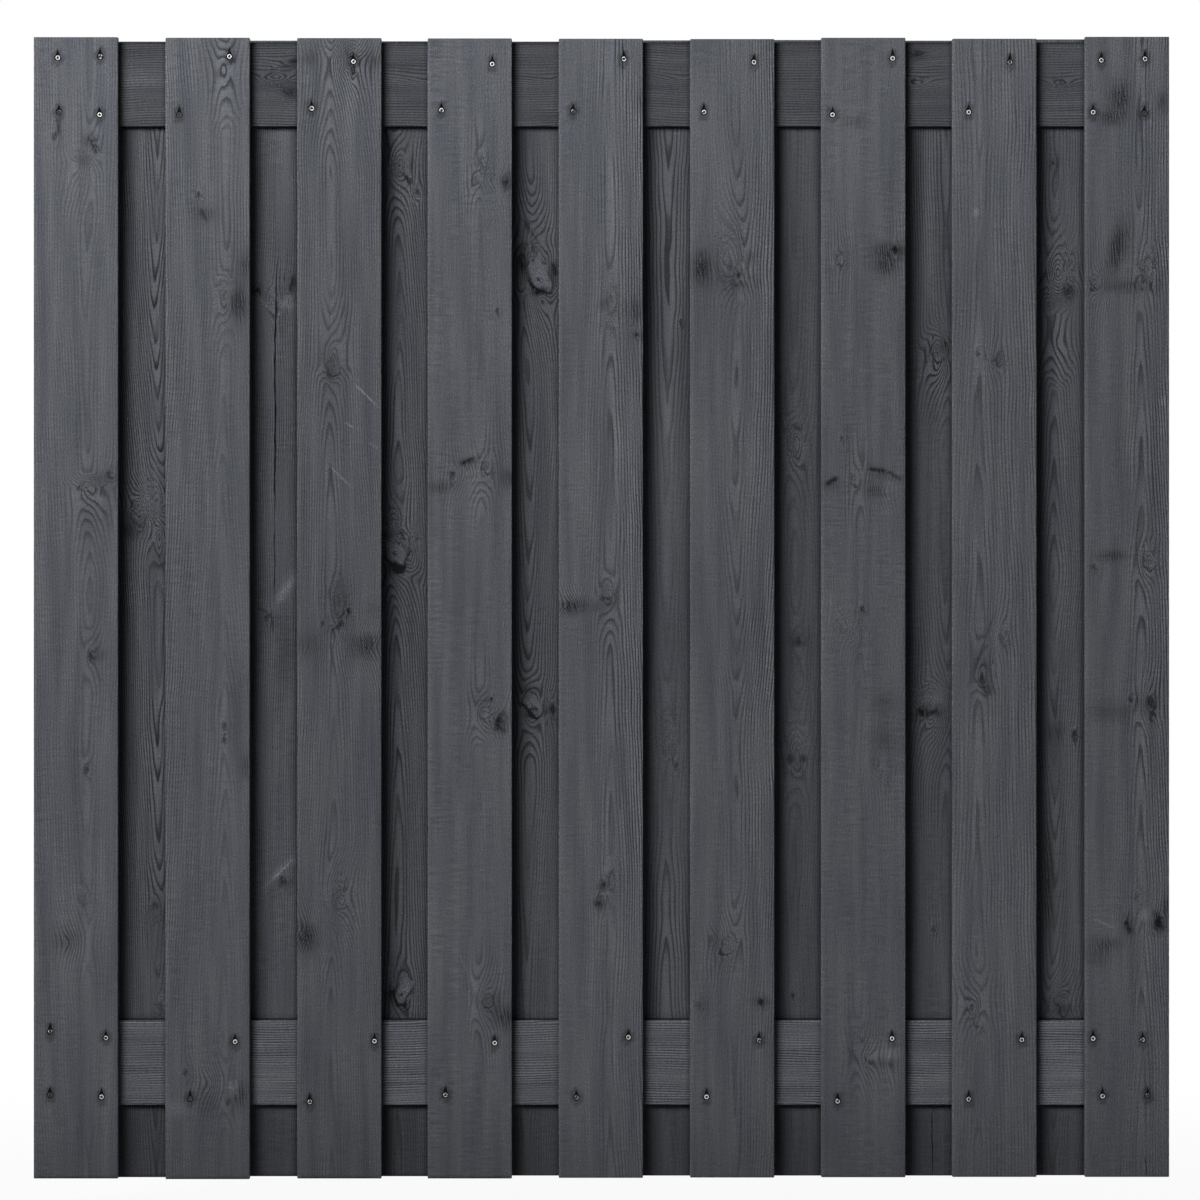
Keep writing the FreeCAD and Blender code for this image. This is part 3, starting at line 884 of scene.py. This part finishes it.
def one_material(mesh, material):
    """Every face in the same material, the cut ones too."""
    mesh.materials.clear()
    mesh.materials.append(material)
    mesh.polygons.foreach_set("material_index", [0] * len(mesh.polygons))


def worked_out(holder, name, material):
    """What an object's modifier makes, as a plain mesh; the modifier goes."""
    graph = bpy.context.evaluated_depsgraph_get()
    made = bpy.data.meshes.new_from_object(holder.evaluated_get(graph))
    holder.modifiers.clear()
    made.name = name
    one_material(made, material)
    return made


def run_tree(name, tree, mesh, values):
    """Evaluate a tree on a mesh and keep the result as a plain mesh object."""
    carrier = place_object(name + "_carrier", mesh)
    modifier = carrier.modifiers.new(tree.name, "NODES")
    modifier.node_group = tree
    for item in tree.interface.items_tree:
        if item.in_out == "INPUT" and item.name in values:
            modifier[item.identifier] = values[item.name]
    carrier.update_tag()
    piece = place_object(name, worked_out(carrier, name, values["Material"]))
    bpy.data.objects.remove(carrier)
    return piece


def shell(rings):
    """Faces that close a row of rings of points: both ends, and the wall between neighbours."""
    faces = [rings[0][::-1], rings[-1]]
    for near, far in zip(rings, rings[1:]):
        for i in range(len(near)):
            j = (i + 1) % len(near)
            faces.append([near[i], near[j], far[j], far[i]])
    return faces


def rings_of(start, sides, count):
    """Point numbers of a number of rings that follow each other."""
    return [list(range(start + k * sides, start + (k + 1) * sides)) for k in range(count)]


def seat_cutter(points, faces, x, z, face_y, inward, rng, tear):
    """Add one screw seat to a cutter: a crushed countersink that tears upwards, and the bore."""
    bore = SHANK_RADIUS + BORE_CLEARANCE
    # Radius, depth and how far open the seat is there
    steps = [
        (HEAD_RADIUS + 2.0 * SCREW_SINK + 0.4, -1.0, 1.0),
        (HEAD_RADIUS + SCREW_SINK + 0.4, 0.0, 1.0),
        (HEAD_RADIUS + SCREW_SINK + 0.3, 0.12, 1.0),
        (HEAD_RADIUS + 0.4, SCREW_SINK, 0.55),
        (bore, SCREW_SINK + HEAD_RADIUS - SHANK_RADIUS, 0.0),
        (bore, SCREW_SINK + SCREW_LENGTH + BORE_CLEARANCE, 0.0),
    ]
    start = len(points)
    lean = rng.uniform(-0.6, 0.6)
    crush = rng.uniform(0.0, 2.0 * math.pi)
    for radius, down, open_share in steps:
        for i in range(SCREW_SIDES):
            angle = 2.0 * math.pi * i / SCREW_SIDES
            ragged = 1.0 + 0.05 * open_share * math.sin(3.0 * angle + crush)
            across = radius * ragged * math.cos(angle)
            up = radius * ragged * math.sin(angle)
            if open_share > 0.0:
                pulled = max(0.0, 1.0 - abs(i - SCREW_SIDES // 4) / 3.2) ** 1.5
                up += tear * open_share * pulled
                across += lean * open_share * pulled - 0.35 * across * pulled
            points.append(((x + across) * MM, (face_y + inward * down) * MM, (z + up) * MM))
    faces.extend(shell(rings_of(start, SCREW_SIDES, len(steps))))


def split_cutter(line, width, depth, to_place):
    """One split as a cutter: a wedge along a line, open at the face and closing at both ends."""
    line = np.array(line, float)
    lengths = np.linspace(0, len(line) - 1, (len(line) - 1) * 8 + 1)
    across = np.interp(lengths, range(len(line)), line[:, 0])
    along = np.interp(lengths, range(len(line)), line[:, 1])
    points = []
    count = len(lengths)
    for i in range(count):
        share = i / (count - 1)
        open_here = max(0.12, min(1.0, 4.0 * share * (1.0 - share) + 0.25)) * (1.0 + 0.25 * math.sin(i * 1.7))
        jog = 0.35 * math.sin(i * 0.9) + 0.25 * math.sin(i * 2.3)
        for side, down in ((-0.5, -0.6), (0.5, -0.6), (0.0, depth * min(1.0, open_here))):
            points.append(to_place(across[i] + jog + side * width * open_here, along[i], down))
    return points, shell(rings_of(0, 3, count))


def cut_away(piece, points, faces, material):
    """Take the cutter's volume out of a piece."""
    name = piece.name + "_cutter"
    mesh = bpy.data.meshes.new(name)
    mesh.from_pydata(points, [], faces)
    shape = bmesh.new()
    shape.from_mesh(mesh)
    bmesh.ops.recalc_face_normals(shape, faces=shape.faces)
    shape.to_mesh(mesh)
    shape.free()
    one_material(mesh, material)
    cutter = place_object(name, mesh)
    cut = piece.modifiers.new("cut", "BOOLEAN")
    cut.operation = "DIFFERENCE"
    cut.solver = "EXACT"
    cut.object = cutter
    old = piece.data
    piece.data = worked_out(piece, piece.name, material)
    bpy.data.meshes.remove(old)
    bpy.data.objects.remove(cutter)
    bpy.data.meshes.remove(mesh)


def smooth_noise(values, spacing, seed):
    """Gentle wander from -1 to 1 along a stick."""
    rng = np.random.default_rng(seed)
    count = int(WANDER_REACH / spacing) + 4
    corners = rng.uniform(-1.0, 1.0, count)
    t = (values - WANDER_START) / spacing
    i = np.clip(t.astype(int), 0, count - 2)
    f = step(t - i, 0.0, 1.0)
    return corners[i] * (1.0 - f) + corners[i + 1] * f


def step(values, start, end):
    """0 before start and 1 after end, with a smooth rise between them."""
    t = np.clip((values - start) / (end - start), 0.0, 1.0)
    return t * t * (3.0 - 2.0 * t)


def coordinates_of(mesh):
    """Points of a mesh in mm."""
    co = np.zeros(len(mesh.vertices) * 3)
    mesh.vertices.foreach_get("co", co)
    return co.reshape(-1, 3) / MM


def write_attribute(mesh, name, *columns):
    data = np.stack([np.broadcast_to(c, len(mesh.vertices)) for c in columns], 1)
    layer = mesh.attributes.new(name, "FLOAT_VECTOR", "POINT")
    layer.data.foreach_set("vector", data.astype(np.float32).ravel())


def turned_place(x, y, tilt):
    """A place in the axes of a form that is tilted, in degrees."""
    turn = math.radians(tilt)
    return x * math.cos(turn) + y * math.sin(turn), y * math.cos(turn) - x * math.sin(turn)


def closest_form(first, forms, count):
    """Columns of the form that lies closest to each point, how far off it is, and how clearly the closest."""
    nearest = np.full(count, FAR)
    second = np.full(count, FAR)
    own = [np.full(count, value) for value in first]
    for reach, values in forms:
        closer = reach < nearest
        second = np.where(closer, nearest, np.minimum(second, reach))
        nearest = np.where(closer, reach, nearest)
        for column, value in zip(own, values):
            column[closer] = value[closer] if isinstance(value, np.ndarray) else value
    return own, nearest, (second - nearest) / (second + nearest)


def knot_forms(rows, across, depth, along):
    for k_across, k_along, radius, stretch, tilt, look in rows:
        core, rim, pale, bulge, drift = KNOT_LOOKS[look]
        x, y = turned_place(across - k_across, along - k_along - drift * depth, tilt)
        u, v = x / radius, y / radius
        yield np.sqrt(u * u + (v / 3.0) ** 2), (u, v, radius, stretch, bulge, core, rim, pale)


def nest_forms(rows, across, along):
    for n_across, n_along, wide, up, down, tilt, swell, seen in rows:
        x, y = turned_place(across - n_across, along - n_along, tilt)
        u, v = x / wide, y / np.where(y > 0.0, up, down)
        yield np.sqrt(u * u + v * v), (u, v, swell, seen)


def scratch_forms(rows, across, depth, along):
    front = 1.0 - step(depth, 1.0, 3.0)
    for x0, y0, x1, y1, strength, *width in rows:
        half = math.hypot(x1 - x0, y1 - y0) / 2.0
        ux, uy = (x1 - x0) / (2.0 * half), (y1 - y0) / (2.0 * half)
        px, py = across - (x0 + x1) / 2.0, along - (y0 + y1) / 2.0
        t = (px * ux + py * uy) / half
        w = py * ux - px * uy
        reach = np.hypot(np.maximum(np.abs(t) - 1.0, 0.0) * half, w)
        w = w / (width[0] if width else SCRATCH_HALF_WIDTH)
        yield reach, (t, w, strength * front * (1.0 - step(reach, 8.0, 14.0)))


def grain_attributes(mesh, stick, places, length, seed, calm_foot, painted_shading):
    """Write what the wood material reads, worked out for every point of a stick."""
    across, depth, along = places
    painted_shade, rail_line, dark_edge = painted_shading
    write_attribute(mesh, "stick", across, depth, along)

    # The heart line and its depth under the face wander along the stick
    layers = np.array(stick["layers"], float)
    table = np.arange(*TABLE_ENDS, TABLE_STEP)
    face_depth = np.interp(table, layers[:, 0], layers[:, 1])
    soft = np.hanning(SOFTENED_OVER)
    padded = np.pad(face_depth, SOFTENED_OVER // 2, mode="edge")
    face_depth = np.convolve(padded, soft / soft.sum(), mode="valid")
    ring = stick["rings"]
    face_depth = face_depth + 0.22 * ring * smooth_noise(table, 70.0, seed)
    face_depth = face_depth + 0.6 * ring * smooth_noise(table, 260.0, seed + 1)
    pith_across = stick["pith"] + 3.5 * smooth_noise(table, 240.0, seed + 2)
    pith_across = pith_across + 0.8 * smooth_noise(table, 60.0, seed + 3)
    pith = [np.interp(along, table, column) for column in (pith_across, face_depth)]
    write_attribute(mesh, "pith", *pith, 1.0 / ring)

    forms = knot_forms(stick.get("knots", []), across, depth, along)
    own, reach, alone = closest_form((0.0, 0.0, 1.0, 0.0, 0.0, 0.0, 0.0, 0.0), forms, len(across))
    near = step(alone, 0.02, 0.25) * (1.0 - step(reach, 2.6, 5.5))
    write_attribute(mesh, "knot", own[0], own[1], near)
    write_attribute(mesh, "knot_form", own[2], np.maximum(own[3], 0.5), own[4])
    write_attribute(mesh, "knot_tone", *own[5:])

    forms = nest_forms(stick.get("nests", []), across, along)
    own, reach, alone = closest_form((0.0, 0.0, 0.0, 0.0), forms, len(across))
    near = step(alone, 0.02, 0.30) * (1.0 - step(reach, 1.5, 2.6)) * (1.0 - step(depth, 4.0, 9.0))
    write_attribute(mesh, "nest", own[0], own[1], near)
    write_attribute(mesh, "nest_form", own[2], own[3], 0.0)

    tone = np.ones(len(across))
    wash = np.full(len(across), float(stick["tint"]))
    for s_across, s_along, wide, high, amount, *slant in stick.get("shades", []):
        x, y = turned_place(across - s_across, along - s_along, slant[0] if slant else 0.0)
        shade = (1.0 + amount * np.exp(-((x / wide) ** 2) - (y / high) ** 2)) ** SEEN
        if amount < TORN_SHADE:
            tone *= shade
        else:
            wash *= shade
    share = np.clip(across / BOARD_WIDTH, 0.0, 1.0)
    lines, saw = [stick[name][0] * (1.0 - share) + stick[name][1] * share for name in ("lines", "saw")]
    lines = np.maximum(lines, 0.0) * (1.0 - calm_foot * (1.0 - step(along, 150.0, 700.0)))
    write_attribute(mesh, "stain", tone, lines, saw)
    # The wash carries the painted shade as well
    write_attribute(mesh, "wash", wash * painted_shade, rail_line, dark_edge)

    forms = scratch_forms(stick.get("scratches", []), across, depth, along)
    write_attribute(mesh, "scratch", *closest_form((9.0, 9.0, 0.0), forms, len(across))[0])

    # Pale arrises: edge wear, widened over the face into a painted highlight along every arris
    sides = np.minimum(across, BOARD_WIDTH - across)
    faces = np.minimum(depth, THICKNESS - depth)
    wear = (1.0 - step(sides, 1.0, 2.8)) * (1.0 - step(faces, 1.0, 2.8))
    ends = 1.0 - step(np.minimum(along, length - along), 0.6, 1.1)
    write_attribute(mesh, "wear", wear, ends * (1.0 - wear), float(seed % 97))


def painted_shade_of(node, co, places, seats):
    """Painted shade on a stick, as the share of light it leaves, where its painted joint line runs, and where
    its arris is painted dark.
    """
    across, depth, along = places
    in_front = 1.0 - step(depth, 3.0, 7.0)
    painted_shade, rail_line, dark_edge = 1.0, 0.0, 0.0
    if node.startswith("rear_"):
        # Painted shade along the next front board's edge, in the joint with the bottom rail and under that
        # rail
        rail_line = in_front
        painted_shade = 1.0 - 0.66 * in_front * step(across, 93.0, 105.0)
        painted_shade = painted_shade * (1.0 - 0.25 * in_front * np.exp(-((along - 250.0) / 5.0) ** 2))
        painted_shade = painted_shade * (1.0 - 0.18 * in_front * (1.0 - step(along, 90.0, 118.0)))
    if node == "top_rail":
        # Painted shade along the top rail's upper edge, and its upper arris painted dark
        dark_edge = 1.0 - step(depth, 1.3, 3.0)
        painted_shade = 1.0 - 0.5 * (1.0 - step(across, 2.0, 8.0)) * in_front
    if node.endswith("_rail"):
        # Painted shade lies along the left edges of the front boards too
        for i in range(1, FRONT_BOARDS):
            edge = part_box("front_board_%d" % (i + 1))[0].x / MM
            beside = np.clip(1.0 - np.abs(along - edge) / 7.0, 0.0, 1.0) * in_front
            painted_shade = painted_shade * (1.0 - 0.55 * beside)
        return painted_shade, rail_line, dark_edge
    for x, z, face_y in seats:
        # Painted shade round a screw of a board, and black down in its seat
        near = np.hypot(co[:, 0] - x, (co[:, 2] - z) * 0.6) < SCREW_SHADE_REACH
        sunk = np.abs(co[:, 1] - face_y) > 0.1
        painted_shade = painted_shade * np.where(near & sunk, 0.05, np.where(near, 0.62, 1.0))
    return painted_shade, rail_line, dark_edge


def make_stick(node, tree, material, cells, seats, seed):
    """One board or rail, cut to its CAD box, with its screw seats and splits; seats are (x, z, face)."""
    lying = node.endswith("_rail")
    low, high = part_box(node)
    size = high - low
    piece = run_tree(
        "sawn_" + node,
        tree,
        bpy.data.meshes.new("empty"),
        {
            "Size": (size.z, size.y, size.x) if lying else tuple(size),
            "Cells Across": cells[0], "Cells Deep": cells[1], "Cells Along": cells[2],
            "Arris": ARRIS * MM, "Roughness of Edges": ROUGH_EDGE * MM, "Seed": float(seed),
            "Turn": (0.0, math.radians(90.0) if lying else 0.0, 0.0),
            "Centre": tuple((low + high) / 2), "Material": material,
        },
    )
    left, front, top = low.x / MM, low.y / MM, high.z / MM

    def to_place(across, along, down):
        if lying:
            return along * MM, (front + down) * MM, (top - across) * MM
        return (left + across) * MM, (front + down) * MM, along * MM

    seats = [seat for seat in seats if left < seat[0] < high.x / MM]
    rng = np.random.default_rng(seed)
    points, faces = [], []
    for x, z, face_y in seats:
        from_front = face_y == FRONT_FACE
        tear = 0.0 if lying else rng.uniform(*FRONT_TEAR) if from_front else REAR_TEAR
        seat_cutter(points, faces, x, z, face_y, 1.0 if from_front else -1.0, rng, tear)
    cut_away(piece, points, faces, material)
    stick = STICKS[node]
    for split in stick.get("splits", []):
        cut_away(piece, *split_cutter(*split, to_place), material)

    mesh = piece.data
    co = coordinates_of(mesh)
    if lying:
        places, length = (top - co[:, 2], co[:, 1] - front, co[:, 0]), high.x / MM
    else:
        places, length = (co[:, 0] - left, co[:, 1] - front, co[:, 2]), top
    painted_shading = painted_shade_of(node, co, places, seats)
    grain_attributes(mesh, stick, places, length, seed, 0.0 if lying else CALM_FOOT, painted_shading)
    # Smooth over the flat cells, sharp where the wood turns a corner
    mesh.shade_smooth()
    mesh.set_sharp_from_angle(angle=math.radians(SHARP_WOOD))
    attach(piece, "root")
    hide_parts(node)


def screw_places(node):
    """Where the screws of a CAD node are: (x, z) in mm, read from its solids by their islands."""
    near = 2.2 * HEAD_RADIUS
    islands = []
    for x, z in coordinates_of(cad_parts[node].data)[:, [0, 2]]:
        for island in islands:
            if abs(island[0][0] - x) < near and abs(island[0][1] - z) < near:
                island.append((x, z))
                break
        else:
            islands.append([(x, z)])
    middles = [(np.min(island, 0) + np.max(island, 0)) / 2 for island in islands]
    return sorted((float(x), float(z)) for x, z in middles)


def screw_blank():
    """One countersunk screw along +Y with the top of its head at the origin, recess and all."""
    angles = [2.0 * math.pi * i / SCREW_SIDES for i in range(SCREW_SIDES)]
    star = [2.05 + 0.28 * math.cos(6.0 * angle) for angle in angles]
    # Radii of a ring and how deep it lies: the recess from its floor up, then the head, shank and point
    rings = [
        ([0.85 * r for r in star], 1.45), ([0.95 * r for r in star], 1.2), (star, 0.12),
        ([r + 0.14 for r in star], 0.0),
    ]
    profile = [
        (3.55, 0.0), (3.85, 0.06), (HEAD_RADIUS, 0.28), (SHANK_RADIUS, 2.25), (SHANK_RADIUS, 21.5),
        (0.35, SCREW_LENGTH),
    ]
    rings += [([radius] * SCREW_SIDES, down) for radius, down in profile]
    points = [
        (radius * math.cos(angle) * MM, down * MM, radius * math.sin(angle) * MM)
        for radii, down in rings
        for radius, angle in zip(radii, angles)
    ]
    mesh = bpy.data.meshes.new("screw_blank")
    mesh.from_pydata(points, [], shell(rings_of(0, SCREW_SIDES, len(rings))))
    mesh.shade_smooth()
    mesh.set_sharp_from_angle(angle=math.radians(SHARP_STEEL))
    return mesh


def make_screws(node, tree, material, blank, face_y, facing, covers, seed):
    """All screws of one CAD node, with the stain that covers each head."""
    places = screw_places(node)
    mesh = bpy.data.meshes.new("places")
    sunk = face_y + (SCREW_SINK if facing == 0.0 else -SCREW_SINK)
    mesh.from_pydata([(x * MM, sunk * MM, z * MM) for x, z in places], [], [])
    values = {"Screw": blank, "Facing": (0.0, 0.0, facing), "Seed": seed, "Material": material}
    piece = run_tree("star_" + node, tree, mesh, values)
    co = coordinates_of(piece.data)
    rng = np.random.default_rng(seed)
    cover = np.zeros(len(co))
    radius = np.zeros(len(co))
    for i, (x, z) in enumerate(places):
        away = np.hypot(co[:, 0] - x, co[:, 2] - z)
        mine = away < 1.15 * HEAD_RADIUS
        cover[mine] = covers[i] if i < len(covers) else float(rng.uniform(0.1, 0.9))
        radius[mine] = away[mine]
    write_attribute(piece.data, "screw", cover, 0.0, radius)
    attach(piece, "root")
    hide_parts(node)


def soft_lamp(name, place, target, width, height, watts, spread):
    lamp = bpy.data.lights.new(name, "AREA")
    lamp.shape = "ELLIPSE"
    lamp.size = width
    lamp.size_y = height
    lamp.energy = watts
    lamp.spread = math.radians(spread)
    holder = place_object(name, lamp)
    holder.location = place
    holder.rotation_euler = (Vector(target) - Vector(place)).to_track_quat("-Z", "Y").to_euler()


def looked_at(tree):
    """1 where the camera looks, in a reflection or through glass too, 0 for light on the object."""
    rays = new_node(tree, "ShaderNodeLightPath", {}).outputs
    seen = Signal(tree, rays["Is Camera Ray"]).most(rays["Is Glossy Ray"])
    return seen.most(rays["Is Transmission Ray"])


def studio():
    """Camera, lamps, a white surround and a pale floor that keeps the panel's shadow."""
    scene = bpy.context.scene
    camera = bpy.data.cameras.new("camera")
    camera.sensor_width = 36.0
    camera.lens = 142.5
    eye = place_object("camera", camera)
    eye.location = (0.8942, -7.5075, 0.9126)
    eye.rotation_euler = Euler((math.radians(90.0), 0.0, 0.0))
    scene.camera = eye

    soft_lamp("window", (-2.4, -5.0, 3.5), (1.5, 0.0, 1.75), width=5.2, height=2.4, watts=101.0, spread=70.0)
    soft_lamp("back_fill", (1.6, 5.5, 3.2), (0.9, 0.0, 0.9), width=3.0, height=2.0, watts=90.0, spread=160.0)

    world = bpy.data.worlds.new("surround")
    world.use_nodes = True
    scene.world = world
    tree = world.node_tree
    inputs = {"Color": (1.0, 1.0, 1.0, 1.0), "Strength": looked_at(tree) * 0.98 + 0.02}
    feed_all(tree, tree.nodes["Background"], inputs)

    mesh = bpy.data.meshes.new("floor")
    reach, level = 60.0, -0.05
    corners = [(-reach, -reach, level), (reach, -reach, level), (reach, reach, level), (-reach, reach, level)]
    mesh.from_pydata(corners, [], [(0, 1, 2, 3)])
    floor = place_object("floor", mesh)
    material, tree, shader = new_material("pale_floor")
    seen = looked_at(tree)
    pale = seen * 0.6 + 0.2
    inputs = {"Base Color": vector_of(tree, pale, pale, pale), "Roughness": 0.9, "Specular IOR Level": 0.1}
    feed_all(tree, shader, inputs)
    # The floor glows white as it gets farther from the panel, so that only its shadow is seen
    x, y, _ = parts_of(tree, new_node(tree, "ShaderNodeTexCoord", {}).outputs["Object"])
    far = ((x - 0.9) * (x - 0.9) * 0.3 + y * y).root().ramp(0.12, 2.2)
    glow = new_node(tree, "ShaderNodeEmission", {"Strength": 1.0})
    inputs = {0: (far * 0.07 + 0.93) * seen, 1: shader.outputs[0], 2: glow.outputs[0]}
    blend = new_node(tree, "ShaderNodeMixShader", inputs)
    feed(tree, tree.nodes["Material Output"].inputs["Surface"], blend.outputs[0])
    mesh.materials.append(material)

    scene.view_settings.view_transform = "Standard"


def main():
    wood, steel = stained_softwood(), brushed_stainless()
    stick_tree, row_tree = sawn_stick_tree(), screw_row_tree()

    # Seats by rail, as (x, z, face that the screw is driven into)
    front, rear = {}, {}
    for side, face, seats in (("front", FRONT_FACE, front), ("rear", REAR_FACE, rear)):
        for rail in RAILS:
            places = screw_places("%s_screws_%s_rail" % (side, rail))
            seats[rail] = [(x, z, face) for x, z in places]
    for side, count, cells, seats in (
        ("front", FRONT_BOARDS, FRONT_CELLS, front), ("rear", REAR_BOARDS, REAR_CELLS, rear)
    ):
        for i in range(count):
            node, seed = "%s_board_%d" % (side, i + 1), BOARD_SEEDS[side] + NEXT_STICK * i
            make_stick(node, stick_tree, wood, cells, seats["top"] + seats["bottom"], seed)
    for i, rail in enumerate(RAILS):
        seed = RAIL_SEED + NEXT_STICK * i
        make_stick(rail + "_rail", stick_tree, wood, RAIL_CELLS, front[rail] + rear[rail], seed)

    blank = place_object("screw_blank", screw_blank())
    for i, rail in enumerate(RAILS):
        for side, face, facing, covers in (
            ("front", FRONT_FACE, 0.0, COVERS[rail]), ("rear", REAR_FACE, math.pi, [])
        ):
            node = "%s_screws_%s_rail" % (side, rail)
            make_screws(node, row_tree, steel, blank, face, facing, covers, SCREW_SEEDS[side] + i)
    bpy.data.objects.remove(blank)
    studio()


main()
